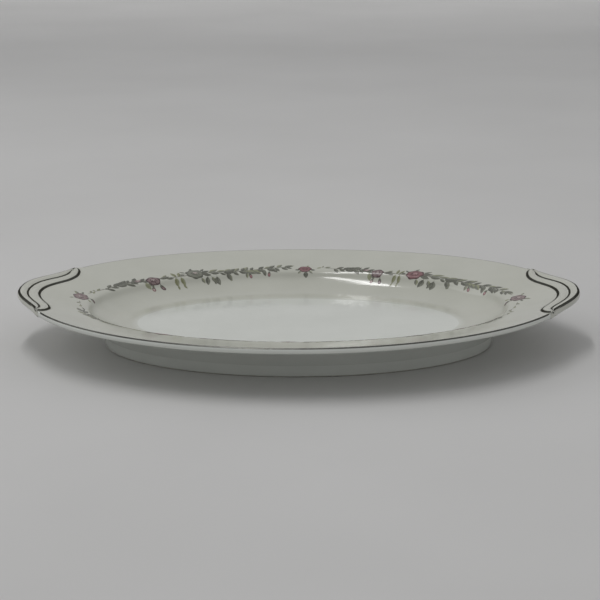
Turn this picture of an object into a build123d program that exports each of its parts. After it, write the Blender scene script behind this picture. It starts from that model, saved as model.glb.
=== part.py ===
"""Oval china serving platter, 413 mm long, in millimetres.

+Z is up, X runs along the long axis, and the origin is on the table at the middle of the foot.
The platter is a shallow oval well inside a sloping ivory rim, on a low foot ring. A scrolled tab
handle is moulded at each end. Platinum lines follow the rim and the handles' grooves, and a garland
of rose sprays follows the verge, where the rim turns down into the well.
"""

from build123d import *
import math
import os

# Half length and half width of each oval in the plan.
RIM = (197.5, 152.0)
RIM_FULLNESS = 2.06  # the exponent of the rim's oval: 2 is an ellipse, and more is fuller
VERGE = (157.0, 109.0)
FLOOR = (132.5, 84.5)
FOOT_OUTSIDE = (142.7, 96.2)
FOOT_WIDTH = 5.0
FOOT_TAPER = 1.2

# Heights above the table.
FLOOR_UNDERSIDE = 8.4
VERGE_TOP = 29.4
VERGE_UNDERSIDE = 25.1
RIM_SIDE_TOP = 36.2
RIM_END_TOP = 38.4
LIP_THICKNESS = 4.3
ABOVE_ALL = 46.0

# Relief and fired-on layers, measured upwards.
RIB_HEIGHT = 1.5
GROUND = 0.2  # the ivory ground colour over the rim and the wall
PRINT = 0.25  # a flower transfer on the ground
PLATINUM = 0.25
LINE_WIDTH = 1.6
RIM_LINE_WIDTH = 1.3
RIM_LINE_INSET = 1.0

# The top surface from the floor's edge up to the verge: outward step from the floor, and height.
WELL_WALL = [(0, 14.9), (6.0, 16.9), (11.0, 19.4), (15.0, 21.5), (18.2, 23.4), (20.2, 25.2), (22.2, 28.0)]
GROUND_STEP = 1.5  # the ivory ground starts this far outside the floor's edge
# The underside from the foot up to the verge: outward step from the foot, and height.
UNDER_WALL = [(1.5, 8.4), (2.7, 10.4), (5.2, 14.2), (8.8, 18.6), (13.0, 22.8)]
UNDER_VERGE = (160.0, 112.0)

# The right-hand handle in the plan, from the long axis to its back ear, each list a smooth line. The
# front half is the same, drawn in along the rim.
FRONT_REACH = 0.87
TAB_EDGE = [(206.5, 0), (205.5, 13), (202.3, 25), (197.4, 36), (191.6, 46), (186.8, 54)]
EAR_EDGE = [(186.8, 54), (183.2, 60.5), (180.4, 65.6), (177.8, 70.0), (174.5, 73.6)]
INNER_EDGE = [(188.8, 0), (187.9, 10), (185.2, 19.5), (180.6, 29.5), (174.2, 42), (170.6, 53), (170.4, 64)]
GROOVE_OUTER = [(205.1, 0), (204.1, 13), (200.9, 25), (196.0, 36), (190.2, 46), (185.4, 54), (181.7, 60.4)]
GROOVE_MIDDLE = [(198.9, 0), (197.9, 12), (194.8, 24), (189.8, 34.5), (183.6, 45), (179.6, 54), (178.3, 62)]
GROOVE_INNER = [(190.7, 0), (189.8, 10), (187.1, 20), (182.6, 30), (176.4, 42), (172.7, 53), (172.6, 64)]

# The garland's four sprays, as angles round the verge: where the stem is centred, and where its large
# rose is. Then its four small roses: the angle, and how far outside the verge each one lies.
SPRAYS = {"back_right": (49, 57), "back_left": (131, 123), "front_left": (229, 237), "front_right": (311, 303)}
SMALL_ROSES = {"right": (6, 8), "back": (90, 0), "left": (174, 8), "front": (270, 0)}
SPRAY_REACH = 35  # degrees of stem each side of a spray's centre
SMALL_REACH = 4
STEM_WIDTH = 0.9
LEAF = (3.4, 1.5)  # half length and half width
LEAF_PITCH = 3.2  # degrees from one leaf to the next
LEAF_LEAN = 38  # degrees between a leaf and the stem
LARGE_ROSE = 7.0  # radius
SMALL_ROSE = 6.0
BUD = 2.2
BUD_PITCH = 12.8


def rim_point(degrees, inset):
    """A point of the rim's full oval, moved in from the lip."""
    c, s = math.cos(math.radians(degrees)), math.sin(math.radians(degrees))
    x = (RIM[0] - inset) * math.copysign(abs(c) ** (2 / RIM_FULLNESS), c)
    y = (RIM[1] - inset) * math.copysign(abs(s) ** (2 / RIM_FULLNESS), s)
    return x, y


def verge_point(degrees, outwards=0.0):
    """A point at a distance outside the verge, and the direction of the verge there in degrees."""
    t = math.radians(degrees)
    along = math.atan2(VERGE[1] * math.cos(t), -VERGE[0] * math.sin(t))
    x = VERGE[0] * math.cos(t) + outwards * math.sin(along)
    y = VERGE[1] * math.sin(t) - outwards * math.cos(along)
    return x, y, math.degrees(along)


def rim_x(y):
    """How far out the rim's oval lies at a distance from the long axis."""
    return RIM[0] * (1 - (abs(y) / RIM[1]) ** RIM_FULLNESS) ** (1 / RIM_FULLNESS)


def front_of(back):
    """The front half of a handle's line, from its back half: drawn in, and kept as near to the rim."""
    return [(x + rim_x(y * FRONT_REACH) - rim_x(y), -y * FRONT_REACH) for x, y in back]


def whole(back):
    """A handle's line from its front ear to its back ear."""
    return front_of(back)[:0:-1] + back


def oval_stack(sections, ruled=False):
    """A solid through horizontal ovals, each given as half length, half width and height."""
    with BuildPart() as stack:
        for half_length, half_width, height in sections:
            with BuildSketch(Plane.XY.offset(height)):
                Ellipse(half_length, half_width)
        loft(ruled=ruled)
    return stack.part


def flare(start, start_z, end_z, side_z):
    """The rim's slope from the verge out, carried on past the lip up to ABOVE_ALL."""
    half_length = start[0] + (RIM[0] - start[0]) * (ABOVE_ALL - start_z) / (end_z - start_z)
    half_width = start[1] + (RIM[1] - start[1]) * (ABOVE_ALL - start_z) / (side_z - start_z)
    return oval_stack([(*start, start_z), (half_length, half_width, ABOVE_ALL)], ruled=True)


# The air above the platter: the well's bowl, and the flare above the rim.
well_sections = [(FLOOR[0] + step, FLOOR[1] + step, z) for step, z in WELL_WALL]
with BuildPart() as air:
    add(oval_stack([*well_sections, (*VERGE, VERGE_TOP)]))
    add(flare(VERGE, VERGE_TOP, RIM_END_TOP, RIM_SIDE_TOP))

# China of the right thickness under that air, reaching past every edge of the plan.
under_sections = [(FOOT_OUTSIDE[0] + step, FOOT_OUTSIDE[1] + step, z) for step, z in UNDER_WALL]
with BuildPart() as shell:
    add(oval_stack([*under_sections, (*UNDER_VERGE, VERGE_UNDERSIDE)]))
    add(flare(UNDER_VERGE, VERGE_UNDERSIDE, RIM_END_TOP - LIP_THICKNESS, RIM_SIDE_TOP - LIP_THICKNESS))
    add(air.part, mode=Mode.SUBTRACT)


def layer(start, thickness):
    """The space between two heights above the platter's top surface."""
    with BuildPart() as skin:
        add(Pos(0, 0, start) * air.part)
        add(Pos(0, 0, start + thickness) * air.part, mode=Mode.SUBTRACT)
    return skin.part


def rim_oval(inset):
    """The rim's oval in the plan, moved in from the lip."""
    with BuildSketch() as oval:
        with BuildLine():
            Spline(*[rim_point(angle, inset) for angle in range(0, 360, 10)], periodic=True)
        make_face()
    return oval.sketch


with BuildSketch() as right_tab_plan:
    with BuildLine():
        Spline(*whole(TAB_EDGE))
        Spline(*EAR_EDGE)
        Spline(*front_of(EAR_EDGE))
        Spline(*whole(INNER_EDGE))
        Line(INNER_EDGE[-1], EAR_EDGE[-1])
        Line(front_of(INNER_EDGE)[-1], front_of(EAR_EDGE)[-1])
    make_face()

with BuildSketch() as body_plan:
    add(rim_oval(0))
    add(right_tab_plan.sketch, mode=Mode.SUBTRACT)
    add(mirror(right_tab_plan.sketch, about=Plane.YZ, mode=Mode.PRIVATE), mode=Mode.SUBTRACT)


def cut_to_plan(material, plan, label):
    """The part of a layer or a shell that lies over a plan, as a labelled piece."""
    with BuildPart() as piece:
        add(plan)
        extrude(amount=ABOVE_ALL)
        add(material, mode=Mode.INTERSECT)
    piece.part.label = label
    return piece.part


def save(piece):
    """Write a piece to the STEP file that its label names."""
    os.makedirs("parts", exist_ok=True)
    export_step(piece, f"parts/{piece.label}.step")


# The casting: the well with its sloping rim, and the foot ring that it stands on.
china_body = cut_to_plan(shell.part, body_plan.sketch, "china_body")
save(china_body)

with BuildPart() as foot_ring:
    with BuildSketch():
        Ellipse(*FOOT_OUTSIDE)
    with BuildSketch(Plane.XY.offset(FLOOR_UNDERSIDE)):
        Ellipse(*[half + FOOT_TAPER for half in FOOT_OUTSIDE])
    loft()
    with BuildSketch():
        Ellipse(*[half - FOOT_WIDTH for half in FOOT_OUTSIDE])
    with BuildSketch(Plane.XY.offset(FLOOR_UNDERSIDE)):
        Ellipse(*[half - FOOT_WIDTH - FOOT_TAPER for half in FOOT_OUTSIDE])
    loft(mode=Mode.SUBTRACT)
foot_ring.part.label = "foot_ring"
save(foot_ring.part)


def band_along(half_line):
    """The platinum band along one of a handle's grooves."""
    with BuildSketch() as band:
        with BuildLine() as line:
            Spline(*whole(half_line))
        trace(line.line, line_width=LINE_WIDTH)
    return band.sketch


# The grooves of the right-hand handle, and the two ribs that stand up between them.
grooves = {
    "outer": band_along(GROOVE_OUTER),
    "middle": band_along(GROOVE_MIDDLE),
    "inner": band_along(GROOVE_INNER),
}
with BuildSketch() as ribs_plan:
    with BuildLine():
        Spline(*whole(GROOVE_OUTER))
        Spline(*whole(GROOVE_INNER))
        Line(GROOVE_OUTER[-1], GROOVE_INNER[-1])
        Line(front_of(GROOVE_OUTER)[-1], front_of(GROOVE_INNER)[-1])
    make_face()
    for groove in grooves.values():
        add(groove, mode=Mode.SUBTRACT)

rib_relief = cut_to_plan(layer(0, RIB_HEIGHT), ribs_plan.sketch, "ribs")
tab_casting = cut_to_plan(shell.part, right_tab_plan.sketch, "tab")
with BuildPart() as right_handle:
    add(tab_casting)
    add(rib_relief)
right_handle.part.label = "right_handle"
save(right_handle.part)

with BuildPart() as left_handle:
    add(mirror(right_handle.part, about=Plane.YZ, mode=Mode.PRIVATE))
left_handle.part.label = "left_handle"
save(left_handle.part)

# Platinum: a line in each groove, and a line round the rim between the handles.
platinum_layer = layer(0, PLATINUM)
for name, groove in grooves.items():
    right_line = cut_to_plan(platinum_layer, groove, f"right_handle_{name}_line")
    save(right_line)
    with BuildPart() as left_line:
        add(mirror(right_line, about=Plane.YZ, mode=Mode.PRIVATE))
    left_line.part.label = f"left_handle_{name}_line"
    save(left_line.part)


def rim_without_tabs(inset):
    """The rim's oval moved in from the lip, less the two handles."""
    with BuildSketch() as plan:
        add(rim_oval(inset))
        add(body_plan.sketch, mode=Mode.INTERSECT)
    return plan.sketch


with BuildSketch() as rim_line_plan:
    add(rim_without_tabs(RIM_LINE_INSET))
    add(rim_without_tabs(RIM_LINE_INSET + RIM_LINE_WIDTH), mode=Mode.SUBTRACT)
save(cut_to_plan(platinum_layer, rim_line_plan.sketch, "rim_line"))

# The ivory ground colour, from the upper wall out to the rim line.
with BuildSketch() as ground_plan:
    add(rim_without_tabs(RIM_LINE_INSET + RIM_LINE_WIDTH))
    Ellipse(*[half + GROUND_STEP for half in FLOOR], mode=Mode.SUBTRACT)
save(cut_to_plan(layer(0, GROUND), ground_plan.sketch, "ivory_ground"))

# The garland, which straddles the verge: each transfer is a stem with its leaves, buds and rose.
transfer_layer = layer(GROUND, PRINT)


def transfer(label, middle, reach, rose_at, rose, outwards):
    """One flower transfer.

    Its stem's middle and reach and its rose's place are angles round the verge, rose is the radius of
    the flower, and outwards is how far outside the verge the transfer lies.
    """
    leaf_count = int(2 * reach / LEAF_PITCH) + 1
    bud_count = int(2 * reach / BUD_PITCH)
    with BuildSketch() as plan:
        with BuildLine() as stem:
            angles = [middle + reach * step / 4 for step in range(-4, 5)]
            Spline(*[verge_point(angle, outwards)[:2] for angle in angles])
        trace(stem.line, line_width=STEM_WIDTH)
        for leaf in range(leaf_count):
            side = 1 if leaf % 2 else -1
            leaf_outwards = outwards + side * LEAF[0] / 2
            x, y, along = verge_point(middle - reach + leaf * LEAF_PITCH, leaf_outwards)
            with Locations((x, y)):
                Ellipse(*LEAF, rotation=along + side * LEAF_LEAN)
        for bud in range(bud_count):
            x, y, along = verge_point(middle - reach + (bud + 0.5) * BUD_PITCH, outwards - BUD)
            with Locations((x, y)):
                Circle(BUD)
        x, y, along = verge_point(rose_at, outwards)
        with Locations((x, y)):
            Circle(rose)
    save(cut_to_plan(transfer_layer, plan.sketch, label))


for place, (angle, rose_at) in SPRAYS.items():
    transfer(f"rose_spray_{place}", angle, SPRAY_REACH, rose_at, LARGE_ROSE, 0)
for place, (angle, outwards) in SMALL_ROSES.items():
    transfer(f"small_rose_{place}", angle, SMALL_REACH, angle, SMALL_ROSE, outwards)
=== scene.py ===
"""Oval china serving platter on a pale floor, in Blender 4.5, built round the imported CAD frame.

The frame is in metres; the shapes here are worked out in millimetres, in the same frame, and scaled
when they become meshes. X runs along the platter, Z is up, and the origin is under its middle. The
china is drawn as nested ovals joined by smooth profiles, and every line and flower lies on it.
"""

import bmesh
import bpy
import math
import numpy as np
from mathutils import Matrix, Vector
from mathutils.bvhtree import BVHTree


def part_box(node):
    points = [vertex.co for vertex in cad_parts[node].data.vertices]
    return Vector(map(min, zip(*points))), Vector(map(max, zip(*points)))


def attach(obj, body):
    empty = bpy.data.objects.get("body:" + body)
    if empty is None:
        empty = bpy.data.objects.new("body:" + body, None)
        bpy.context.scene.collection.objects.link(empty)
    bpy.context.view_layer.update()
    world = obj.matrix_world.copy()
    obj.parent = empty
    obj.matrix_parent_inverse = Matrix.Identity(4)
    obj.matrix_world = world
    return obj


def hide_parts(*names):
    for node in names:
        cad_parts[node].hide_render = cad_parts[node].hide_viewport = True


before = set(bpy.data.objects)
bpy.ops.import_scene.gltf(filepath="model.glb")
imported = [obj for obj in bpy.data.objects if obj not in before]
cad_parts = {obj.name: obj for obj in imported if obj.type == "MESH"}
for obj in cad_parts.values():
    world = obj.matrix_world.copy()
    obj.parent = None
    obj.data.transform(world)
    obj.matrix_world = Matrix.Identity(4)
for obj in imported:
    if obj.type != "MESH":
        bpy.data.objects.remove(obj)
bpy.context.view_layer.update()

MM = 0.001


def cad_mm(node):
    """A CAD node's lowest and highest corners in millimetres."""
    return [np.array(corner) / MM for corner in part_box(node)]


# Plan sizes, from the frame where a node shows them: half length and half width of each oval.
TAB_END = cad_mm("right_handle")[1][0]
TAB_REACH = 9.0  # how far a handle stands out past the rim's oval
RIM = np.array([TAB_END - TAB_REACH, cad_mm("china_body")[1][1]])
RIM_FULLNESS = 2.06  # the exponent of the rim's oval: 2 is an ellipse, and more is fuller
VERGE = RIM - np.array([40.5, 43.0])
FOOT_TOP_Z = cad_mm("foot_ring")[1][2]
FOOT_TAPER = 1.2
FOOT = cad_mm("foot_ring")[1][:2] - FOOT_TAPER
FOOT_WIDTH = 5.0
FOOT_ROUND = 1.1

# Heights above the table.
VERGE_Z = 29.4
RIM_SIDE_Z = 36.2
RIM_END_Z = 38.4
FLOOR_Z = 14.5
RIM_THICKNESS = 4.0  # at the verge
LIP_THICKNESS = 4.3
LIP_ROUND = 1.8

# The right-hand handle in the plan, from the long axis to its back ear, each list a smooth line.
# The front half is the same, drawn in along the rim.
FRONT_REACH = 0.87
TIP = (176.3, 71.4)
EAR_END = (174.5, 73.6)
SEAM = [(188.8, 0), (187.9, 10), (185.2, 19.5), (180.6, 29.5), (174.2, 42), (170.6, 53), (170.4, 64),
        EAR_END]
INNER_LINE = [(190.7, 0), (189.8, 10), (187.1, 20), (182.6, 30), (176.4, 42), (172.7, 53), (172.2, 62),
              (173.4, 68), TIP]
VALLEY = [(198.9, 0), (197.9, 12), (194.8, 24), (189.8, 34.5), (183.6, 45), (179.6, 54), (178.3, 62),
          (177.4, 68), TIP]
OUTER_LINE = [(205.1, 0), (204.1, 13), (200.9, 25), (196.0, 36), (190.2, 46), (185.4, 54), (181.7, 60.4),
              (179.2, 65.2), (177.6, 69.0), TIP]
TAB_EDGE = [(TAB_END, 0), (TAB_END - 1.0, 13), (202.3, 25), (197.4, 36), (191.6, 46), (186.8, 54),
            (183.2, 60.5), (180.4, 65.6), (177.8, 70.0), EAR_END]
RIB_HEIGHT = 1.3
# The relief across a handle at its seven lines, from the seam out: share of the rib height, and slope.
RIB_KNOTS = np.array([0.0, 0.36, 1.0, 0.34, 0.92, 0.55, 0.0])
RIB_SLOPES = np.array([0.0, 0.30, 0.0, 0.0, 0.0, -0.38, -0.45]) / RIB_HEIGHT * 1.6
RIB_DOME = 7.0  # the ribs rise to their full height over this distance from a tip
RIB_SWELL, SWELL_AT, SWELL_WIDTH = 0.15, 13, 8  # and are a little higher this far from it

# Fired-on layers stand this far off the glaze below them.
SKIN = 0.05
EMBED = 0.03


# ---------------------------------------------------------------- curves and surfaces

def bspline(control, steps):
    """A uniform cubic B-spline through the space of the control rows, pinned at both ends."""
    control = np.array(control, float)
    rows = np.vstack([2 * control[0] - control[1], control, 2 * control[-1] - control[-2]])
    out = []
    for i in range(len(rows) - 3):
        for u in np.arange(steps) / steps:
            weights = [(1 - u) ** 3, 3 * u ** 3 - 6 * u ** 2 + 4,
                       -3 * u ** 3 + 3 * u ** 2 + 3 * u + 1, u ** 3]
            out.append(sum(w * row for w, row in zip(weights, rows[i:i + 4])) / 6)
    out.append(control[-1])
    return np.array(out)


def through(points, count):
    """A smooth Catmull-Rom line through points, as count points evenly spaced along it."""
    p = np.array(points, float)
    p = np.vstack([2 * p[0] - p[1], p, 2 * p[-1] - p[-2]])
    dense = []
    for a, b, c, d in zip(p, p[1:], p[2:], p[3:]):
        u = np.linspace(0, 1, 24, endpoint=False)[:, None]
        dense.append(0.5 * (2 * b + (c - a) * u + (2 * a - 5 * b + 4 * c - d) * u ** 2
                            + (3 * b - a - 3 * c + d) * u ** 3))
    dense = np.vstack(dense + [p[-2][None]])
    return evenly(dense, np.linspace(0, 1, count))


def evenly(line, fractions):
    """Points at fractions of a polyline's length."""
    along = np.concatenate([[0], np.cumsum(np.linalg.norm(np.diff(line, axis=0), axis=1))])
    return np.stack([np.interp(fractions * along[-1], along, column) for column in line.T], axis=-1)


def marly_ring(w):
    """The sloping rim as an oval: w is 0 at the verge and 1 at the lip."""
    a, b = VERGE + w * (RIM - VERGE)
    return a, b, VERGE_Z + w * (RIM_SIDE_Z - VERGE_Z), VERGE_Z + w * (RIM_END_Z - VERGE_Z)


def verge_ring(step, z):
    """An oval inside the verge by a step, at a height."""
    return VERGE[0] - step, VERGE[1] - step, z, z


# A surface is a table of nested ovals: half length, half width, height at the side, height at the end.
# The well in steps inwards from the verge, from the flat floor up to the shoulder: (step, height).
WELL = [(48, FLOOR_Z), (33, FLOOR_Z + 0.1), (24.5, 15.1), (18.5, 16.6), (13.5, 18.6), (9.5, 20.5),
        (6.3, 22.5), (4.8, 24.2), (3.6, 26.3), (2.2, 28.4)]
MARLY = (0.12, 0.3, 0.65, 1.0, 1.4)  # the rim's slope runs on past the lip, to be cut by the outline
TOP_STEPS = 12  # rows of the table for each step of the well
TOP = bspline([verge_ring(step, z) for step, z in WELL] + [marly_ring(w) for w in MARLY], TOP_STEPS)
VERGE_ROW = TOP_STEPS * (len(WELL) - 1) + TOP_STEPS // 2


def under_ring(w):
    """The underside of the sloping rim."""
    a, b, side, end = marly_ring(w)
    thickness = RIM_THICKNESS + (LIP_THICKNESS - RIM_THICKNESS) * min(w, 1)
    return a, b, side - thickness, end - thickness


def outer_wall_ring(step, z):
    """An oval of the outside wall, outside the foot by a step."""
    return FOOT[0] + FOOT_TAPER + step, FOOT[1] + FOOT_TAPER + step, z, z


# The outside wall in steps outwards from the foot: (step, height).
OUTER_WALL = [(0, FOOT_TOP_Z), (1.2, 10.4), (3.6, 14.4), (7.4, 19.4), (11.8, 23.4)]
UNDER_STEPS = 10
UNDER = bspline([outer_wall_ring(step, z) for step, z in OUTER_WALL] + [under_ring(w) for w in MARLY],
                UNDER_STEPS)


BISECTIONS = 40  # enough halvings to settle a row exactly


def oval_index(table, x, y):
    """Where the oval through a plan point lies in a table, as a fractional row."""
    low = np.zeros(np.shape(x))
    high = np.full(np.shape(x), len(table) - 1.0)
    rows = np.arange(len(table))
    for _ in range(BISECTIONS):
        middle = (low + high) / 2
        a, b = np.interp(middle, rows, table[:, 0]), np.interp(middle, rows, table[:, 1])
        outside = (x / a) ** 2 + (y / b) ** 2 > 1
        low, high = np.where(outside, middle, low), np.where(outside, high, middle)
    return (low + high) / 2


def height(table, x, y):
    """A surface's height over a plan point."""
    row = oval_index(table, x, y)
    a, side, end = [np.interp(row, np.arange(len(table)), table[:, k]) for k in (0, 2, 3)]
    return side + (end - side) * np.clip(x / a, -1, 1) ** 2


def oval_points(ring, t):
    """Points of one oval of a table, at angles t."""
    a, b, side, end = ring
    c, s = np.cos(t), np.sin(t)
    return np.stack([a * c, b * s, side + (end - side) * c ** 2], axis=-1)


# ---------------------------------------------------------------- the outline in the plan

STATIONS = 121  # stations along a handle, from its front ear to its back ear


def rim_x(y):
    """How far out the rim's oval lies at a distance from the long axis."""
    return RIM[0] * (1 - np.abs(y / RIM[1]) ** RIM_FULLNESS) ** (1 / RIM_FULLNESS)


def both_halves(back):
    """A line from the front ear to the back ear, from its back half alone."""
    y = back[:0:-1, 1]
    drawn_in = y * FRONT_REACH
    front = np.column_stack([back[:0:-1, 0] + rim_x(drawn_in) - rim_x(y), -drawn_in])
    return np.vstack([front, back])


def handle_line(half):
    """A handle line as evenly spaced stations on each half."""
    return both_halves(through(half, (STATIONS + 1) // 2))


SEAM_LINE = handle_line(SEAM)


def rim_radius(angle):
    """How far the rim is from the middle, in a plan direction."""
    c, s = np.abs(np.cos(angle)), np.abs(np.sin(angle))
    return ((c / RIM[0]) ** RIM_FULLNESS + (s / RIM[1]) ** RIM_FULLNESS) ** (-1 / RIM_FULLNESS)


def edge_rows(table, t):
    """The fractional row at which each spoke of the ovals, at angle t, meets the rim."""
    rows = np.arange(len(table))
    low, high = np.full(t.shape, len(table) * 0.5), np.full(t.shape, len(table) - 1.0)
    for _ in range(BISECTIONS):
        middle = (low + high) / 2
        x = np.interp(middle, rows, table[:, 0]) * np.cos(t)
        y = np.interp(middle, rows, table[:, 1]) * np.sin(t)
        outside = np.hypot(x, y) > rim_radius(np.arctan2(y, x))
        low, high = np.where(outside, low, middle), np.where(outside, middle, high)
    return (low + high) / 2


# ---------------------------------------------------------------- mesh helpers

def make_piece(name, vertices_mm, faces, materials, material_index=None, sharp=40):
    """A mesh object from millimetre vertices, with doubled points merged and smooth shading."""
    mesh = bpy.data.meshes.new(name)
    mesh.from_pydata([tuple(v) for v in np.asarray(vertices_mm) * MM], [], [tuple(f) for f in faces])
    for material in materials:
        mesh.materials.append(material)
    if material_index is not None:
        mesh.polygons.foreach_set("material_index", material_index)
    piece = bpy.data.objects.new(name, mesh)
    bpy.context.collection.objects.link(piece)
    tidy_mesh(mesh)
    mesh.shade_smooth()
    mesh.set_sharp_from_angle(angle=math.radians(sharp))
    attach(piece, "root")
    return piece


def tidy_mesh(mesh):
    """Merge points that coincide, drop faces that close up, and turn all faces outwards."""
    work = bmesh.new()
    work.from_mesh(mesh)
    bmesh.ops.remove_doubles(work, verts=work.verts, dist=0.002 * MM)
    bmesh.ops.dissolve_degenerate(work, edges=work.edges, dist=0.001 * MM)
    bmesh.ops.recalc_face_normals(work, faces=work.faces)
    work.to_mesh(mesh)
    work.free()


def grid_faces(rows, columns, wrap_rows=False, wrap_columns=False):
    """Quads over a grid of points numbered row by row."""
    faces = []
    for i in range(rows if wrap_rows else rows - 1):
        j_next = (i + 1) % rows
        for k in range(columns if wrap_columns else columns - 1):
            k_next = (k + 1) % columns
            faces.append((i * columns + k, j_next * columns + k,
                          j_next * columns + k_next, i * columns + k_next))
    return faces


def surface_normals(grid):
    """Unit normals of a grid of points whose rows go once round, pointing up."""
    along = np.roll(grid, -1, axis=0) - np.roll(grid, 1, axis=0)
    across = np.gradient(grid, axis=1)
    normal = np.cross(along, across)
    normal *= np.sign(normal[..., 2:3])
    return normal / np.linalg.norm(normal, axis=-1, keepdims=True)


def thin_skin(name, grid, material):
    """A closed thin piece that lies on a grid of surface points, whose rows go once round."""
    normal = surface_normals(grid)
    top, bottom = grid + normal * SKIN, grid - normal * EMBED
    loop = np.concatenate([top, bottom[:, ::-1]], axis=1)
    faces = grid_faces(len(loop), loop.shape[1], wrap_rows=True, wrap_columns=True)
    return make_piece(name, loop.reshape(-1, 3), faces, [material])


# ---------------------------------------------------------------- materials

def principled(name, color, roughness, **sockets):
    """A Principled material and its nodes, ready for detail."""
    material = bpy.data.materials.new(name)
    material.use_nodes = True
    nodes, links = material.node_tree.nodes, material.node_tree.links
    shader = nodes["Principled BSDF"]
    shader.inputs["Base Color"].default_value = (*color, 1)
    shader.inputs["Roughness"].default_value = roughness
    for socket, value in sockets.items():
        shader.inputs[socket.replace("_", " ")].default_value = value
    return material, nodes, links, shader


def noise(nodes, links, scale, detail=3.0):
    """Noise in the object's own coordinates; scale is per metre."""
    coordinates = nodes.new("ShaderNodeTexCoord")
    texture = nodes.new("ShaderNodeTexNoise")
    texture.inputs["Scale"].default_value = scale
    texture.inputs["Detail"].default_value = detail
    links.new(coordinates.outputs["Object"], texture.inputs["Vector"])
    return texture.outputs["Fac"]


def ramp(nodes, links, value, stops):
    """A colour ramp over a value; stops are (position, colour)."""
    node = nodes.new("ShaderNodeValToRGB")
    elements = node.color_ramp.elements
    while len(elements) < len(stops):
        elements.new(0.5)
    for element, (position, color) in zip(elements, stops):
        element.position = position
        element.color = (*color, 1)
    links.new(value, node.inputs["Fac"])
    return node.outputs["Color"]


def by_height(nodes, links, low, high):
    """A value that goes from 0 to 1 between two heights above the table, in metres."""
    coordinates = nodes.new("ShaderNodeTexCoord")
    split = nodes.new("ShaderNodeSeparateXYZ")
    links.new(coordinates.outputs["Object"], split.inputs["Vector"])
    share = nodes.new("ShaderNodeMapRange")
    share.interpolation_type = "SMOOTHSTEP"
    share.inputs["From Min"].default_value = low
    share.inputs["From Max"].default_value = high
    links.new(split.outputs["Z"], share.inputs["Value"])
    return share.outputs["Result"]


def mixed(nodes, links, share, first, second):
    """Two colours mixed by a share."""
    mix = nodes.new("ShaderNodeMix")
    mix.data_type = "RGBA"
    for socket, value in (("Factor", share), ("A", first), ("B", second)):
        links.new(value, mix.inputs[socket])
    return mix.outputs["Result"]


def glaze(name, thin_color, thick_color, roughness=0.09, fades_from=None):
    """Glossy glaze: cloudy in tone, with the faint ripple of a fired surface. It can fade in upwards."""
    material, nodes, links, shader = principled(name, thick_color, roughness, IOR=1.52)
    color = ramp(nodes, links, noise(nodes, links, 26, 4), [(0.3, thin_color), (0.7, thick_color)])
    if fades_from:
        below = ramp(nodes, links, noise(nodes, links, 26, 4), [(0.3, fades_from[0]), (0.7, fades_from[1])])
        color = mixed(nodes, links, by_height(nodes, links, *GROUND_FADE), below, color)
    links.new(color, shader.inputs["Base Color"])
    bump = nodes.new("ShaderNodeBump")
    bump.inputs["Strength"].default_value = 0.05
    bump.inputs["Distance"].default_value = 0.0006
    links.new(noise(nodes, links, 90, 2), bump.inputs["Height"])
    links.new(bump.outputs["Normal"], shader.inputs["Normal"])
    rough = nodes.new("ShaderNodeMapRange")
    rough.inputs["To Min"].default_value = roughness * 0.8
    rough.inputs["To Max"].default_value = roughness * 1.5
    links.new(noise(nodes, links, 60, 3), rough.inputs["Value"])
    links.new(rough.outputs["Result"], shader.inputs["Roughness"])
    return material


def platinum_line():
    """Burnished platinum: dark, softly polished metal, rubbed thin in places."""
    material, nodes, links, shader = principled("platinum", (0.12, 0.12, 0.11), 0.3, Metallic=1.0)
    shader.inputs["Specular Tint"].default_value = (0.32, 0.32, 0.30, 1)
    wear = noise(nodes, links, 420, 5)
    colors = [(0.25, (0.17, 0.17, 0.155)), (0.55, (0.12, 0.12, 0.11)), (0.8, (0.09, 0.09, 0.08))]
    links.new(ramp(nodes, links, wear, colors), shader.inputs["Base Color"])
    rough = nodes.new("ShaderNodeMapRange")
    rough.inputs["To Min"].default_value = 0.22
    rough.inputs["To Max"].default_value = 0.42
    links.new(noise(nodes, links, 900, 2), rough.inputs["Value"])
    links.new(rough.outputs["Result"], shader.inputs["Roughness"])
    return material


def enamel(name, dark, light):
    """Printed enamel colour under a soft gloss, mottled as a transfer is."""
    material, nodes, links, shader = principled(name, light, 0.22, IOR=1.5)
    links.new(ramp(nodes, links, noise(nodes, links, 700, 4), [(0.35, dark), (0.65, light)]),
              shader.inputs["Base Color"])
    return material


WHITE_TONES = ((0.66, 0.68, 0.635), (0.70, 0.72, 0.675))
IVORY_TONES = ((0.525, 0.53, 0.465), (0.56, 0.565, 0.50))
GROUND_FADE = (0.01453, 0.01476)  # the ivory comes in over these heights, in metres, on the outer floor
WHITE_GLAZE = glaze("white_glaze", *WHITE_TONES)
IVORY_GLAZE = glaze("ivory_glaze", *IVORY_TONES, fades_from=WHITE_TONES)
PLATINUM = platinum_line()


def bare_foot():
    """The foot ring: white glaze, with an unglazed bearing edge that is coloured darker as painted shade
    where it meets the table.
    """
    material, nodes, links, shader = principled("foot_glaze", (0.80, 0.80, 0.75), 0.12, IOR=1.52)
    bare = by_height(nodes, links, 0.0004, 0.0011)
    # Painted shade: the bottom millimetre of the foot is coloured dark grey-brown, standing in for the shade
    # along the table.
    contact_shade = ramp(nodes, links, noise(nodes, links, 300, 5),
                 [(0.3, (0.38, 0.36, 0.31)), (0.7, (0.56, 0.54, 0.48))])
    glazed = ramp(nodes, links, noise(nodes, links, 26, 4), [(0.3, WHITE_TONES[0]), (0.7, WHITE_TONES[1])])
    links.new(mixed(nodes, links, bare, contact_shade, glazed), shader.inputs["Base Color"])
    rough = nodes.new("ShaderNodeMapRange")
    rough.inputs["To Min"].default_value = 0.7
    rough.inputs["To Max"].default_value = 0.12
    links.new(bare, rough.inputs["Value"])
    links.new(rough.outputs["Result"], shader.inputs["Roughness"])
    return material


FOOT_GLAZE = bare_foot()


# ---------------------------------------------------------------- the china

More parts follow.
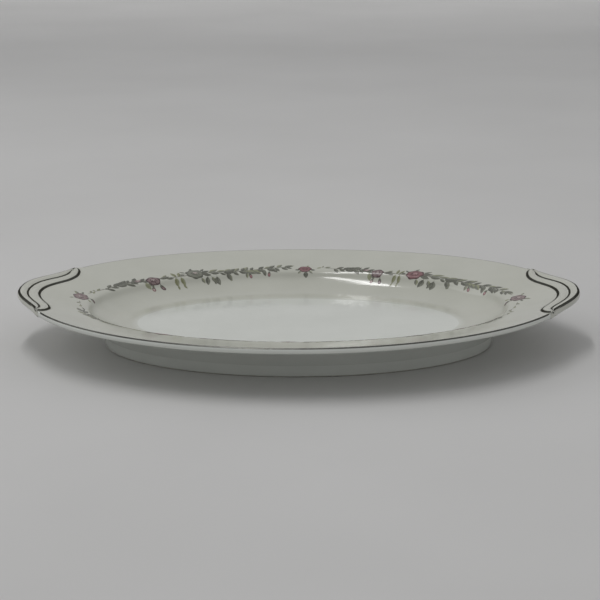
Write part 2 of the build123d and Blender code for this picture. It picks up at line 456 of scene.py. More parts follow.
WELL_ROWS = list(range(4, VERGE_ROW + 8, 4))  # rows of TOP from the floor's edge to just past the verge
GROUND_STEP = 40.0  # how far inside the verge the ivory ground starts
FLOOR_SHARES = (0.15, 0.35, 0.55, 0.75, 0.9)  # rings of points on the flat floor
MARLY_RINGS = 14
RIM_SPOKES = 100  # spokes from one handle to the other
FOOT_SPOKES = 288
LIP_POINTS = 9
HANDLE_RINGS = 12  # rows of points under a handle


def outline():
    """The body's edge in the plan, as (angle t, edge point, is it the rim) for every spoke."""
    row = oval_index(TOP, SEAM_LINE[:, 0], SEAM_LINE[:, 1])
    rows = np.arange(len(TOP))
    seam_t = np.arctan2(SEAM_LINE[:, 1] / np.interp(row, rows, TOP[:, 1]),
                        SEAM_LINE[:, 0] / np.interp(row, rows, TOP[:, 0]))
    left_t, left_seam = math.pi - seam_t[::-1], SEAM_LINE[::-1] * (-1, 1)
    back_t = np.linspace(seam_t[-1], left_t[0], RIM_SPOKES + 1)[1:-1]
    front_t = np.linspace(left_t[-1], 2 * math.pi + seam_t[0], RIM_SPOKES + 1)[1:-1]
    rims = []
    for rim_t in (back_t, front_t):
        edge = edge_rows(TOP, rim_t)
        rims.append(np.stack([np.interp(edge, rows, TOP[:, 0]) * np.cos(rim_t),
                              np.interp(edge, rows, TOP[:, 1]) * np.sin(rim_t)], axis=-1))
    t = np.concatenate([seam_t, back_t, left_t, front_t])
    points = np.vstack([SEAM_LINE, rims[0], left_seam, rims[1]])
    on_rim = np.concatenate([np.zeros(STATIONS, bool), np.ones(len(back_t), bool)] * 2)
    return t, points, on_rim


def lip(edge, inward, radius, top_of, bottom_of):
    """The rounded lip between two surfaces: columns of points from the top round to the bottom."""
    columns = []
    for beta in np.linspace(0, math.pi, LIP_POINTS):
        plan = edge + inward * (radius * (1 - math.sin(beta)))[:, None]
        share = (1 + math.cos(beta)) / 2
        z = top_of(plan) * share + bottom_of(plan) * (1 - share)
        columns.append(np.column_stack([plan, z]))
    return columns


def make_body():
    """The well, its wall and the sloping rim. Returns the piece and the grid of its top surface."""
    t, edge, on_rim = outline()
    c, s = np.cos(t), np.sin(t)
    columns = [np.tile([0, 0, FLOOR_Z], (len(t), 1))]
    for share in FLOOR_SHARES:
        columns.append(oval_points((TOP[0][0] * share, TOP[0][1] * share, FLOOR_Z, FLOOR_Z), t))
    columns += [oval_points(TOP[row], t) for row in [0] + WELL_ROWS]
    start = columns[-1][:, :2]
    inward = start - edge
    inward /= np.linalg.norm(inward, axis=1, keepdims=True)
    radius = np.where(on_rim, LIP_ROUND, 0.0)
    stop = edge + inward * radius[:, None]
    for k in range(1, MARLY_RINGS + 1):
        plan = start + (stop - start) * k / MARLY_RINGS
        columns.append(np.column_stack([plan, height(TOP, plan[:, 0], plan[:, 1])]))
    top_count = len(columns)

    columns += lip(edge, inward, radius, lambda p: height(TOP, p[:, 0], p[:, 1]),
                   lambda p: height(UNDER, p[:, 0], p[:, 1]))[1:]
    under_rows = list(range(len(UNDER) - 1, -1, -5))
    under_rows = [row for row in under_rows if UNDER[row][0] < VERGE[0] + 8]
    inner = oval_points(UNDER[under_rows[0]], t)[:, :2]
    for k in range(1, MARLY_RINGS):
        plan = stop + (inner - stop) * k / MARLY_RINGS
        columns.append(np.column_stack([plan, height(UNDER, plan[:, 0], plan[:, 1])]))
    columns += [oval_points(UNDER[row], t) for row in under_rows]
    inside = FOOT - FOOT_WIDTH - FOOT_TAPER
    for step, z in ((0, FOOT_TOP_Z), (3, FOOT_TOP_Z + 0.3), (20, FOOT_TOP_Z + 0.4), (60, FOOT_TOP_Z + 0.4)):
        columns.append(oval_points((inside[0] - step, inside[1] - step, z, z), t))
    columns.append(np.tile([0, 0, FOOT_TOP_Z + 0.4], (len(t), 1)))
    grid = np.stack(columns, axis=1)
    faces = grid_faces(len(t), grid.shape[1], wrap_rows=True)
    piece = make_piece("china_body", grid.reshape(-1, 3), faces, [WHITE_GLAZE])
    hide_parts("china_body")
    return piece, grid[:, :top_count]


def make_foot():
    """The oval foot ring, with a rounded bearing edge."""
    t = np.linspace(0, 2 * math.pi, FOOT_SPOKES, endpoint=False)
    outline_points = [(FOOT_TAPER, FOOT_TOP_Z + 0.05), (FOOT_TAPER * 0.5, FOOT_TOP_Z / 2), (0, FOOT_ROUND)]
    for angle in np.radians([30, 60, 90]):
        outline_points.append((-FOOT_ROUND * (1 - math.cos(angle)), FOOT_ROUND * (1 - math.sin(angle))))
    inner = -FOOT_WIDTH + FOOT_ROUND
    for angle in np.radians([90, 60, 30, 0]):
        outline_points.append((inner - FOOT_ROUND * math.cos(angle), FOOT_ROUND * (1 - math.sin(angle))))
    outline_points += [(-FOOT_WIDTH - 0.6, FOOT_TOP_Z * 0.6),
                       (-FOOT_WIDTH - FOOT_TAPER - 0.6, FOOT_TOP_Z + 0.15)]
    columns = [oval_points((FOOT[0] + step, FOOT[1] + step, z, z), t) for step, z in outline_points]
    grid = np.stack(columns, axis=1)
    faces = grid_faces(len(t), grid.shape[1], wrap_rows=True, wrap_columns=True)
    piece = make_piece("foot_ring", grid.reshape(-1, 3), faces, [FOOT_GLAZE])
    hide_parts("foot_ring")


def rib_profile(v, spans):
    """The relief across a handle: v counts its lines from the seam, and spans are the gaps in mm."""
    i = min(int(v), len(RIB_KNOTS) - 2)
    u = v - i
    start, end = RIB_SLOPES[i] * spans[i], RIB_SLOPES[i + 1] * spans[i]
    return ((2 * u ** 3 - 3 * u ** 2 + 1) * RIB_KNOTS[i] + (u ** 3 - 2 * u ** 2 + u) * start
            + (-2 * u ** 3 + 3 * u ** 2) * RIB_KNOTS[i + 1] + (u ** 3 - u ** 2) * end)


def make_handle(side):
    """One scrolled tab handle: side is 1 for the right and -1 for the left."""
    inner, valley, outer = [handle_line(half) for half in (INNER_LINE, VALLEY, OUTER_LINE)]
    edge = handle_line(TAB_EDGE)
    lines = [SEAM_LINE, inner, (inner + valley) / 2, valley, (valley + outer) / 2, outer, edge]
    gaps = [np.linalg.norm(b - a, axis=1) for a, b in zip(lines, lines[1:])]
    along = np.abs(np.linspace(-1, 1, STATIONS))
    reach = np.linalg.norm(np.diff(SEAM_LINE, axis=0), axis=1).sum() / 2
    from_tip = (1 - along) * reach
    dome = np.sqrt(1 - (1 - np.clip(from_tip / RIB_DOME, 0, 1)) ** 2)
    relief = RIB_HEIGHT * dome * (1 + RIB_SWELL * np.exp(-((from_tip - SWELL_AT) / SWELL_WIDTH) ** 2))

    def plan_at(v):
        i = min(int(v), 5)
        return lines[i] + (lines[i + 1] - lines[i]) * (v - i)

    columns = []
    cross_steps = [k / 3 for k in range(3)] + [1 + k / 6 for k in range(24)]
    for v in cross_steps + [5.0]:
        plan = plan_at(v)
        z = height(TOP, plan[:, 0], plan[:, 1]) + relief * rib_profile(v, gaps)
        columns.append(np.column_stack([plan, z]))
    inward = outer - edge
    room = np.linalg.norm(inward, axis=1)
    inward = inward / np.maximum(room, 1e-6)[:, None]
    radius = np.minimum(LIP_ROUND, room * 0.98)

    def top_of(plan):
        share = 1 - np.linalg.norm(plan - edge, axis=1) / np.maximum(room, 1e-6)
        drop = np.array([rib_profile(5 + min(max(f, 0), 0.999), [g[k] for g in gaps])
                         for k, f in enumerate(share)])
        return height(TOP, plan[:, 0], plan[:, 1]) + relief * drop

    def bottom_of(plan):
        return height(UNDER, plan[:, 0], plan[:, 1])

    columns += lip(edge, inward, radius, top_of, bottom_of)
    stop = edge + inward * radius[:, None]
    for k in range(1, HANDLE_RINGS + 1):
        plan = stop + (SEAM_LINE - stop) * k / HANDLE_RINGS
        columns.append(np.column_stack([plan, bottom_of(plan)]))
    grid = np.stack(columns, axis=1) * (side, 1, 1)
    name = "right_handle" if side > 0 else "left_handle"
    faces = grid_faces(STATIONS, grid.shape[1], wrap_columns=True)
    piece = make_piece(name, grid.reshape(-1, 3), faces, [IVORY_GLAZE])
    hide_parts(name)
    return piece


def make_ground(top_grid):
    """The ivory ground colour: a thin skin over the outer floor, the wall and the sloping rim."""
    before_rows = 1 + len(FLOOR_SHARES) + 1  # the grid's middle point, floor rings and floor edge
    first = before_rows + [TOP[row][0] >= VERGE[0] - GROUND_STEP for row in WELL_ROWS].index(True)
    piece = thin_skin("ivory_ground", top_grid[:, first:], IVORY_GLAZE)
    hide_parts("ivory_ground")


body, body_top = make_body()
make_foot()
make_ground(body_top)
handles = [make_handle(side) for side in (1, -1)]


# ---------------------------------------------------------------- lines draped on the china

def china_tree():
    """A search tree over the body's and the handles' meshes."""
    vertices, faces = [], []
    for piece in [body] + handles:
        start = len(vertices)
        vertices += [v.co.copy() for v in piece.data.vertices]
        faces += [[start + index for index in polygon.vertices] for polygon in piece.data.polygons]
    return BVHTree.FromPolygons(vertices, faces)


CHINA = china_tree()
DROP_FROM = 0.1


def china_below(x, y):
    """The china's point and normal below a plan point, or its nearest edge just outside the plan."""
    point, normal = CHINA.ray_cast(Vector((x * MM, y * MM, DROP_FROM)), Vector((0, 0, -1)))[:2]
    if point is None:
        point, normal = CHINA.find_nearest(Vector((x * MM, y * MM, RIM_END_Z * MM)))[:2]
    return point / MM, normal if normal.z > 0 else -normal


def drape(plan):
    """Points just above and just below the china's surface, under plan points in millimetres."""
    hits = [china_below(x, y) for x, y in plan]
    points = np.array([point for point, _ in hits])
    normals = np.array([normal for _, normal in hits])
    return points + normals * SKIN, points - normals * EMBED


def line_mesh(line, half_width):
    """The points and faces of a flat line painted along a plan line, with a width at each station."""
    tangent = np.gradient(line, axis=0)
    tangent /= np.linalg.norm(tangent, axis=1, keepdims=True)
    side = np.column_stack([-tangent[:, 1], tangent[:, 0]])
    tops, bottoms = [], []
    for share in np.linspace(-1, 1, 5):
        top, bottom = drape(line + side * (half_width * share)[:, None])
        tops.append(top)
        bottoms.append(bottom)
    loop = np.stack(tops + bottoms[::-1], axis=1)
    count = loop.shape[1]
    faces = grid_faces(len(loop), count, wrap_columns=True)
    faces.append(tuple(range(count)))
    faces.append(tuple(range((len(loop) - 1) * count, len(loop) * count))[::-1])
    return loop.reshape(-1, 3), faces


def painted_line(name, lines, half_widths):
    """A platinum piece made of one or more plan lines."""
    vertices, faces = [], []
    for line, half_width in zip(lines, half_widths):
        points, quads = line_mesh(line, half_width)
        faces += [tuple(index + len(vertices) for index in face) for face in quads]
        vertices += list(points)
    piece = make_piece(name, vertices, faces, [PLATINUM])
    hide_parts(name)
    return piece


RIM_LINE_INSET = 0.9
RIM_LINE_STEPS = 361
RIM_LINE_HALF = 0.55  # half widths of the lines
INNER_HALF = 0.9
VALLEY_HALF = 0.75
OUTER_HALF = 0.85
HOOK_STEPS = 181
VALLEY_TAPER = 6  # stations over which the middle line tapers, and by which it stops short of a tip


def paint_handle(side, name):
    """A handle's three lines. The inner and outer ones meet in a hook round each ear."""
    hook = through(INNER_LINE + OUTER_LINE[-2::-1], HOOK_STEPS)
    turn = int(np.argmin(np.linalg.norm(hook - np.array(TIP), axis=1)))
    halves = {"inner": hook[:turn + 1], "outer": hook[turn:][::-1]}
    for part, wide in (("inner", INNER_HALF), ("outer", OUTER_HALF)):
        back = halves[part]
        line = both_halves(back) * (side, 1)
        painted_line(f"{name}_{part}_line", [line], [np.full(len(line), wide)])
    valley = handle_line(VALLEY)[VALLEY_TAPER:-VALLEY_TAPER] * (side, 1)
    from_end = np.minimum(np.arange(len(valley)), np.arange(len(valley))[::-1])
    taper = np.clip(from_end / VALLEY_TAPER, 0.35, 1)
    painted_line(f"{name}_middle_line", [valley], [VALLEY_HALF * taper])


def rim_line_half(ear, hand):
    """The rim's platinum on one side, ear to ear: hand is 1 for the back and -1 for the front."""
    start = math.atan2(abs(ear[1]), ear[0])
    angle = np.linspace(start, math.pi - start, RIM_LINE_STEPS)
    radius = rim_radius(angle)
    points = np.column_stack([radius * np.cos(angle), radius * np.sin(angle)])
    tangent = np.gradient(points, axis=0)
    tangent /= np.linalg.norm(tangent, axis=1, keepdims=True)
    points += np.column_stack([-tangent[:, 1], tangent[:, 0]]) * RIM_LINE_INSET
    return points * (1, hand)


for side, name in ((1, "right_handle"), (-1, "left_handle")):
    paint_handle(side, name)
rim_halves = [rim_line_half(SEAM_LINE[-1], 1), rim_line_half(SEAM_LINE[0], -1)]
painted_line("rim_line", rim_halves, [np.full(len(half), RIM_LINE_HALF) for half in rim_halves])


# ---------------------------------------------------------------- printed flowers

# A print is drawn flat, in millimetres: s runs to the right along the verge as seen from the middle
# of the platter, and q runs outwards over the china. Every mark is a thin closed patch of colour.
VERGE_T = np.linspace(0, 2 * math.pi, 2881)
VERGE_ARC = np.concatenate([[0], np.cumsum(np.linalg.norm(
    np.diff(oval_points(TOP[VERGE_ROW], VERGE_T), axis=0), axis=1))])
PROFILE_ARC = np.concatenate([[0], np.cumsum(np.linalg.norm(np.diff(TOP[:, 1:3], axis=0), axis=1))])
PRINT_INSET = 4.6  # the prints sit this far inside the verge of their drawing
PRINT_LIFT = SKIN + 0.04
PRINT_LAYER = 0.03  # each layer of colour stands this much above the one below
PRINT_STEP = 1.3  # patches follow the china in steps of about this size

ENAMELS = {
    "stem": ((0.12, 0.115, 0.09), (0.18, 0.17, 0.135)),
    "leaf_dark": ((0.095, 0.096, 0.077), (0.15, 0.154, 0.122)),
    "leaf_mid": ((0.155, 0.16, 0.128), (0.23, 0.235, 0.19)),
    "leaf_pale": ((0.24, 0.25, 0.16), (0.32, 0.33, 0.22)),
    "leaf_lime": ((0.17, 0.175, 0.095), (0.26, 0.265, 0.15)),
    "rose_dark": ((0.085, 0.045, 0.047), (0.13, 0.07, 0.072)),
    "rose_red": ((0.19, 0.085, 0.09), (0.27, 0.14, 0.145)),
    "rose_pink": ((0.38, 0.20, 0.21), (0.46, 0.29, 0.29)),
    "mauve_dark": ((0.075, 0.045, 0.05), (0.12, 0.075, 0.08)),
    "mauve": ((0.20, 0.14, 0.14), (0.28, 0.21, 0.205)),
    "blush": ((0.42, 0.34, 0.32), (0.48, 0.41, 0.385)),
}
ENAMEL_MATERIALS = {name: enamel(name, *tones) for name, tones in ENAMELS.items()}


def on_china(t, s, q):
    """Points of the china under a print's points, for a print centred at angle t of the verge."""
    arc = (np.interp(t, VERGE_T, VERGE_ARC) - s) % VERGE_ARC[-1]
    rows = np.arange(len(TOP))
    row = np.interp(PROFILE_ARC[VERGE_ROW] + q - PRINT_INSET, PROFILE_ARC, rows)
    ring = [np.interp(row, rows, TOP[:, k]) for k in range(4)]
    return oval_points(ring, np.interp(arc, VERGE_ARC, VERGE_T))


def lifted(t, marks_sq, lift):
    """The same points, lifted along the china's normals."""
    s, q = marks_sq[..., 0], marks_sq[..., 1]
    near = 0.2
    along = on_china(t, s + near, q) - on_china(t, s - near, q)
    across = on_china(t, s, q + near) - on_china(t, s, q - near)
    normal = np.cross(along, across)
    normal *= np.sign(normal[..., 2:3]) / np.linalg.norm(normal, axis=-1, keepdims=True)
    return on_china(t, s, q) + normal * lift[..., None]


def patch(outline_sq, color, layer=0):
    """A mark with a closed outline: rings of points from its middle to its edge, above and below."""
    outline_sq = np.asarray(outline_sq)
    middle = outline_sq.mean(axis=0)
    reach = np.linalg.norm(outline_sq - middle, axis=1).max()
    rings = max(1, math.ceil(reach / PRINT_STEP))
    shares = [k / rings for k in range(rings + 1)]
    shares += shares[::-1]
    grid = np.stack([middle + (outline_sq - middle) * share for share in shares], axis=1)
    lift = np.where(np.arange(len(shares)) <= rings, PRINT_LIFT + layer * PRINT_LAYER, -EMBED)
    faces = grid_faces(len(grid), len(shares), wrap_rows=True)
    return grid.reshape(-1, 2), np.tile(lift, len(grid)), faces, color


def strip(line, half_width, color, layer=0):
    """A mark along a line: a stem, tapering to its ends."""
    length = np.linalg.norm(np.diff(np.array(line, float), axis=0), axis=1).sum()
    points = through(line, max(4, math.ceil(length / PRINT_STEP)))
    tangent = np.gradient(points, axis=0)
    tangent /= np.linalg.norm(tangent, axis=1, keepdims=True)
    side = np.column_stack([-tangent[:, 1], tangent[:, 0]])
    taper = np.interp(np.linspace(0, 1, len(points)), [0, 0.15, 0.85, 1], [0.4, 1, 1, 0.3])
    width = half_width * taper[:, None]
    grid = np.stack([points - side * width, points + side * width] * 2, axis=1)[:, [0, 1, 3, 2]]
    lift = np.tile([PRINT_LIFT + layer * PRINT_LAYER] * 2 + [-EMBED] * 2, len(grid))
    faces = grid_faces(len(grid), 4, wrap_columns=True)
    faces += [(3, 2, 1, 0), tuple(range(len(grid) * 4 - 4, len(grid) * 4))]
    return grid.reshape(-1, 2), lift, faces, color


def turned(points, angle, place):
    """Points turned by an angle in degrees and moved to a place."""
    c, s = math.cos(math.radians(angle)), math.sin(math.radians(angle))
    return np.asarray(points, float) @ np.array([[c, s], [-s, c]]) + np.array(place)


def leaf(s, q, angle, length, tone="mid", broad=0.4, layer=1):
    """A pointed leaf growing from (s, q): one half in shade, and a vein between the halves."""
    light, shade = {"dark": ("leaf_mid", "leaf_dark"), "deep": ("leaf_dark", "leaf_dark"),
                    "mid": ("leaf_pale", "leaf_mid"), "pale": ("leaf_pale", "leaf_pale"),
                    "lime": ("leaf_pale", "leaf_lime")}[tone]
    along = np.linspace(0, 1, 8)
    swell = np.sin(math.pi * along ** 0.85) ** 0.9 * broad * length
    marks = []
    for hand, color in ((1, light), (-1, shade)):
        edge = np.column_stack([along * length, hand * swell * 0.55])
        spine = np.column_stack([along * length, np.full(8, -0.02 * hand)])
        outline_sq = np.vstack([spine, edge[-2:0:-1]])
        marks.append(patch(turned(outline_sq, angle, (s, q)), color, layer))
    marks.append(strip(turned([(-0.12 * length, 0), (0.4 * length, 0), (0.8 * length, 0)], angle, (s, q)),
                       0.16, shade, layer + 1))
    return marks


def oval_mark(s, q, angle, long, wide, color, layer, ripple=0.0, lobes=5):
    """An oval patch, its edge rippled into lobes."""
    theta = np.linspace(0, 2 * math.pi, max(10, int(6 * long) // 2 * 2), endpoint=False)
    radius = 1 + ripple * np.cos(lobes * theta)
    return patch(turned(np.column_stack([long * radius * np.cos(theta), wide * radius * np.sin(theta)]),
                        angle, (s, q)), color, layer)


def rose(s, q, size, tones, petals=7, squash=0.85, turn=0):
    """An open rose: a dark rim, a ring of overlapping petals, an inner cup and a pale heart."""
    edge, body, glow = tones
    marks = [oval_mark(s, q, turn, size, size * squash, edge, 2, 0.06, petals)]
    for k in range(petals):
        angle = 2 * math.pi * k / petals + 0.3
        out = 0.60 * size
        place = turned([(out * math.cos(angle), out * squash * math.sin(angle))], turn, (s, q))[0]
        lean = math.degrees(angle) + 90 + turn
        marks.append(oval_mark(*place, lean, 0.36 * size, 0.25 * size, body, 3, 0.08, 3))
    marks.append(oval_mark(s, q, turn, 0.44 * size, 0.40 * size * squash, edge, 4, 0.05, 5))
    for hand, color in ((1, glow), (-1, body)):
        arc = np.linspace(-0.4, math.pi - 0.4, 7)
        line = np.column_stack([0.27 * size * np.cos(arc), hand * 0.27 * size * squash * np.sin(arc)])
        marks.append(strip(turned(line, turn, (s, q)), 0.085 * size, color, 5))
    marks.append(oval_mark(s, q, turn + 20, 0.15 * size, 0.09 * size, glow, 6))
    return marks


def bud(s, q, angle, size, tones):
    """A rosebud on its stalk, pointing away from (s, q), with a green cup."""
    dark, light = tones
    tip = turned([(size * 1.1, 0)], angle, (s, q))[0]
    marks = [strip(turned([(-size, 0.2 * size), (0, 0), (size * 0.5, 0)], angle, (s, q)), 0.22, "stem", 1),
             oval_mark(*tip, angle, 0.75 * size, 0.5 * size, dark, 2),
             oval_mark(*tip, angle, 0.48 * size, 0.24 * size, light, 3)]
    for spread in (-28, 28):
        marks += leaf(s, q, angle + spread, size * 0.95, "dark", 0.35, 4)
    return marks


def leaf_run(dice, start, end, base, count, tones):
    """A run of small leaves crowding along the stem, alternating in and out."""
    marks = []
    for k, s in enumerate(np.linspace(start, end, count)):
        lean = (46 if k % 2 else -38) + dice.uniform(-22, 22)
        place = (s + dice.uniform(-0.6, 0.6), base(s) + dice.uniform(-0.5, 0.5))
        marks += leaf(*place, lean, dice.uniform(5.4, 8.2), tones[dice.integers(len(tones))], 0.46, 1 + k % 2)
    return marks


RED = ("rose_dark", "rose_red", "rose_pink")
FADED = ("leaf_dark", "leaf_mid", "blush")
MAUVE = ("mauve_dark", "mauve", "blush")
# The spray's leaves, as (s, q, angle, length, tone).
DROOP_LEAVES = [(-38, 0.5, -72, 7, "pale"), (-35.5, 0.3, -58, 5.5, "mid"), (4, -1.5, -72, 5.5, "mid"),
                (9.5, -1.0, -104, 8.0, "dark"), (13, -1.5, -64, 6.0, "mid"), (17.5, -1.5, -86, 8.5, "dark"),
                (16.5, -2.5, -108, 6.5, "dark"), (26.5, 1.0, -62, 8.0, "dark"), (29, -0.5, -88, 6.0, "mid"),
                (44, 0.5, -96, 5.0, "mid"), (58, 1.5, -70, 5.0, "dark")]
SPRIG_LEAVES = [(-80, 6.5, 205, 4.0, "pale"), (-77, 6.0, 18, 5.0, "mid"), (-79, 6.4, 80, 3.0, "mid")]
MAIN_LEAVES = [(-25.5, 2.0, 12, 7.5, "dark"), (-23, 3.2, 38, 5.0, "mid"), (-21.5, 1.8, -14, 5.5, "dark"),
               (-7.0, 3.6, 176, 4.5, "deep"), (-6.0, 6.0, 140, 4.0, "dark"), (-1.5, 9.0, 65, 4.5, "dark"),
               (6.0, 4.6, 14, 7.5, "deep"), (5.5, 2.4, -16, 8.0, "deep"), (6.0, 6.8, 42, 5.5, "dark"),
               (12.5, 4.2, 22, 9.0, "mid"), (13, 2.6, -6, 8.0, "dark"), (19, 3.6, 14, 7.5, "mid"),
               (21, 2.0, -30, 5.5, "dark")]
LIME_LEAVES = [(-14.0, 2.0, 98, 7.0), (-12.0, 2.0, 70, 6.5), (-14.5, 1.0, -97, 8.5), (-11.0, 0.8, -82, 8.0),
               (-15.0, -6.5, -104, 4.5), (-11.0, -6.0, -78, 4.5)]
STEM_WAVE = 9.0  # the stem sways in and out with this half period along the verge


def stem_line(s):
    """How far out the main stem runs at s along the spray."""
    return 2.6 + 0.8 * np.sin(s / STEM_WAVE) + 0.0006 * s ** 2


def spray(tones):
    """The long spray: a large rose near its middle, and leaves, buds and a small flower along a stem."""
    dice = np.random.default_rng(877)
    s = np.arange(-76, 84, 5.0)
    marks = [strip(np.column_stack([s, stem_line(s)]), 0.34, "stem", 0)]
    for place in SPRIG_LEAVES:
        marks += leaf(*place)
    marks += leaf_run(dice, -69, -57, stem_line, 6, ("deep", "dark", "dark"))
    marks += leaf_run(dice, -56, -48, stem_line, 5, ("dark", "dark", "mid"))
    marks += leaf_run(dice, -47, -43, stem_line, 3, ("deep", "deep"))
    marks.append(oval_mark(-41.5, 4.2, 10, 2.6, 1.5, "mauve", 2, 0.08, 3))
    marks.append(oval_mark(-41, 4.4, 10, 1.4, 0.7, "blush", 3))
    marks += leaf(-40.5, 2.8, 34, 6.5, "deep") + leaf(-39.5, 2.2, -8, 6.0, "dark")
    marks += rose(-31, 1.6, 5.0, MAUVE, 5, 0.95, 15) + bud(-27.5, -3.5, -78, 3.0, MAUVE[:2])
    marks += bud(-33.5, -4.0, -104, 2.6, ("rose_red", "blush"))
    for place in LIME_LEAVES:
        marks += leaf(*place, "lime", 0.34, 1)
    for place in MAIN_LEAVES:
        marks += leaf(*place, 0.40, 1)
    for place in DROOP_LEAVES:
        marks += leaf(*place, 0.46, 1)
    marks += rose(0.5, 4.0, 6.6, tones, 7, 0.9)
    marks += leaf_run(dice, 24, 34, stem_line, 6, ("dark", "mid", "deep"))
    marks += leaf_run(dice, 37, 49, stem_line, 7, ("dark", "mid", "mid")) + bud(46, -0.5, -70, 2.4, RED[1:])
    marks += leaf_run(dice, 53, 65, stem_line, 7, ("deep", "dark", "mid")) + bud(63, 0.5, -95, 2.4, RED[1:])
    marks += leaf_run(dice, 68, 76, stem_line, 4, ("dark", "mid"))
    marks += leaf(79, stem_line(79), 30, 6, "mid") + leaf(78, stem_line(78) - 0.5, -25, 5, "dark")
    return marks


def middle_rose():
    """The small red rose in the middle of a long side."""
    marks = leaf(0.6, 0.2, -84, 5.6, "deep", 0.62)
    for place in ((-4.0, 2.6, 186, 4.0, "deep"), (4.2, 2.6, -8, 4.2, "deep"), (-2.5, 1.2, -140, 4.2, "mid"),
                  (3.2, 1.2, -38, 4.2, "mid"), (1.5, 7, 75, 3.2, "pale")):
        marks += leaf(*place)
    return marks + rose(0, 3.8, 5.2, ("rose_dark", "rose_red", "rose_red"), 6, 0.78)


def end_rose():
    """The mauve rose at an end, with a spent bud, and sprigs that trail off along the verge."""
    marks = rose(0, 9.5, 6.8, MAUVE, 6, 0.86, 30)
    for place in ((4.5, 13.0, 52, 6.5, "mid"), (6.5, 10.5, 20, 4.5, "dark"), (-5.5, 13.5, 128, 4.0, "mid")):
        marks += leaf(*place)
    marks += bud(1.5, 2.0, -95, 2.6, MAUVE[:2]) + leaf(-2.5, 2.8, -130, 4.0, "pale")
    for k, (s, tone) in enumerate(((14, "mid"), (22, "pale"), (30, "dark"))):
        closer = 1.2 * k
        for hand in (1, -1):
            marks += leaf(hand * s, 7.0 - closer, 90 - hand * (60 + 20 * k), 4.6, tone)
            stalk = [(hand * (s - 3), 8.0 - closer), (hand * s, 7.2 - closer), (hand * (s + 4), 6.6 - closer)]
            marks.append(strip(stalk, 0.22, "stem", 0))
    return marks


def transfer(node, t, marks, spread=(1.0, 1.0)):
    """Fire a print onto the china at angle t, spread by a factor to its left and to its right."""
    vertices, faces, colors = [], [], []
    names = list(dict.fromkeys(color for *_, color in marks))
    for points_sq, lift, quads, color in marks:
        s, q = points_sq.T
        spaced = np.column_stack([s * np.where(s < 0, *spread), q])
        faces += [tuple(index + len(vertices) for index in quad) for quad in quads]
        vertices += list(lifted(math.radians(t), spaced, lift))
        colors += [names.index(color)] * len(quads)
    piece = make_piece(node, vertices, faces, [ENAMEL_MATERIALS[name] for name in names], colors)
    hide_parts(node)


TOWARDS_MIDDLE, TOWARDS_END = 0.95, 1.2  # the sprays bunch up along the sides and spread round the ends
for node, t, end_is_right in (("back_right", 57, True), ("back_left", 123, False),
                              ("front_left", 237, True), ("front_right", 303, False)):
    spread = (TOWARDS_MIDDLE, TOWARDS_END) if end_is_right else (TOWARDS_END, TOWARDS_MIDDLE)
    transfer(f"rose_spray_{node}", t, spray(RED if end_is_right else FADED), spread)
for node, t in (("back", 90), ("front", 270)):
    transfer(f"small_rose_{node}", t, middle_rose())
for node, t in (("right", 5), ("left", 175)):
    transfer(f"small_rose_{node}", t, end_rose())


# ---------------------------------------------------------------- floor, light and camera

CAMERA_DISTANCE = 1390.2 * MM
CAMERA_ELEVATION = math.radians(15.24)
CAMERA_TURN = math.radians(3.28)  # the platter stands turned a little from the camera
CAMERA_ROLL = math.radians(-0.58)
AIM = (0.0014, 0.0217)  # how far right and up the camera looks from the origin, per unit distance
LENS = 112.6
SENSOR = 36.0


def make_camera():
    """The camera, aimed just above the origin."""
    flat = CAMERA_DISTANCE * math.cos(CAMERA_ELEVATION)
    place = Vector((math.sin(CAMERA_TURN) * flat, -math.cos(CAMERA_TURN) * flat,
                    CAMERA_DISTANCE * math.sin(CAMERA_ELEVATION)))
    forward = -place.normalized()
    right = forward.cross(Vector((0, 0, 1))).normalized()
    forward = (forward + right * AIM[0] + right.cross(forward) * AIM[1]).normalized()
    right = forward.cross(Vector((0, 0, 1))).normalized()
    up = right.cross(forward)
    c, s = math.cos(CAMERA_ROLL), math.sin(CAMERA_ROLL)
    right, up = right * c + up * s, up * c - right * s
    data = bpy.data.cameras.new("camera")
    data.lens = LENS
    data.sensor_width = SENSOR
    data.clip_start = 0.05
    data.clip_end = 50
    camera = bpy.data.objects.new("camera", data)
    camera.matrix_world = Matrix.Translation(place) @ Matrix((right, up, -forward)).transposed().to_4x4()
    bpy.context.collection.objects.link(camera)
    bpy.context.scene.camera = camera


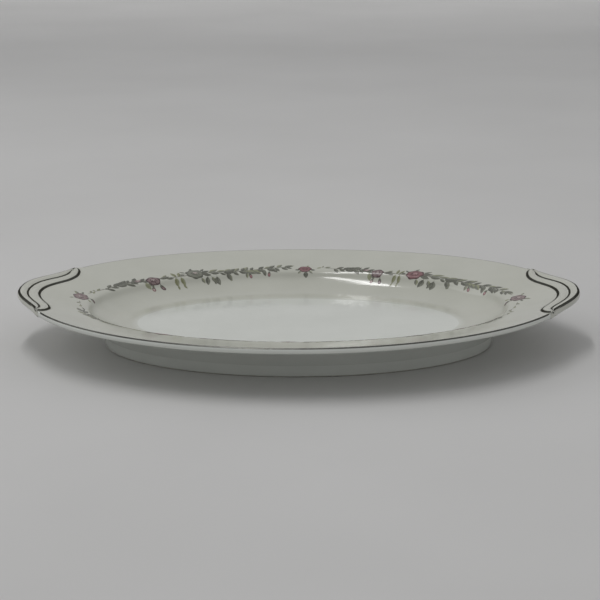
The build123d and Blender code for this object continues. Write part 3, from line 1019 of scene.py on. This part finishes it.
def make_floor():
    """A wide pale floor that runs on far behind the platter, then curves up."""
    front, back, half, radius, top = -4.0, 6.0, 9.0, 1.5, 4.0
    profile = [(front, 0.0), (back, 0.0)]
    profile += [(back + radius * math.sin(a), radius * (1 - math.cos(a)))
                for a in np.linspace(0, math.pi / 2, 17)[1:]]
    profile.append((back + radius, top))
    vertices = [(x, y, z) for y, z in profile for x in (-half, half)]
    mesh = bpy.data.meshes.new("floor")
    quads = [(2 * k, 2 * k + 1, 2 * k + 3, 2 * k + 2) for k in range(len(profile) - 1)]
    mesh.from_pydata(vertices, [], quads)
    mesh.shade_smooth()
    material, nodes, links, shader = principled("floor_paper", (0.62, 0.615, 0.605), 0.6)
    tone = ramp(nodes, links, noise(nodes, links, 3, 3),
                [(0.3, (0.60, 0.595, 0.585)), (0.7, (0.64, 0.635, 0.625))])
    links.new(tone, shader.inputs["Base Color"])
    mesh.materials.append(material)
    floor = bpy.data.objects.new("floor", mesh)
    bpy.context.collection.objects.link(floor)


ROOM_LEVEL, ROOM_TOP = 0.30, 0.45  # how bright the room is at eye level and overhead
ROOM_RISE = 0.4  # the sine of the angle above eye level where it reaches its full brightness


def area_light(name, place, target, width, depth, power):
    """A soft rectangular light that faces a point."""
    data = bpy.data.lights.new(name, "AREA")
    data.shape = "RECTANGLE"
    data.size, data.size_y = width, depth
    data.energy = power
    light = bpy.data.objects.new(name, data)
    light.location = place
    light.rotation_euler = (Vector(target) - Vector(place)).to_track_quat("-Z", "Y").to_euler()
    bpy.context.collection.objects.link(light)


def light_the_scene():
    """A softbox overhead, one to the left, one on the backdrop, and a room that is dimmer low down."""
    area_light("overhead", (-0.36, 0.0, 2.0), (0, 0, 0), 1.9, 0.14, 10)
    area_light("left", (-2.4, 0.6, 1.7), (0, 0, 0), 1.6, 1.6, 9)
    area_light("backdrop", (0, 2.5, 3.2), (0, 6.0, 2.6), 3.0, 1.0, 80)
    world = bpy.data.worlds.new("room")
    world.use_nodes = True
    nodes, links = world.node_tree.nodes, world.node_tree.links
    coordinates = nodes.new("ShaderNodeTexCoord")
    split = nodes.new("ShaderNodeSeparateXYZ")
    links.new(coordinates.outputs["Generated"], split.inputs["Vector"])
    strength = nodes.new("ShaderNodeMapRange")
    strength.inputs["From Max"].default_value = ROOM_RISE
    strength.inputs["To Min"].default_value = ROOM_LEVEL
    strength.inputs["To Max"].default_value = ROOM_TOP
    links.new(split.outputs["Z"], strength.inputs["Value"])
    background = nodes["Background"]
    background.inputs["Color"].default_value = (0.98, 0.985, 1.0, 1)
    links.new(strength.outputs["Result"], background.inputs["Strength"])
    bpy.context.scene.world = world


make_camera()
make_floor()
light_the_scene()
bpy.context.scene.view_settings.view_transform = "Standard"
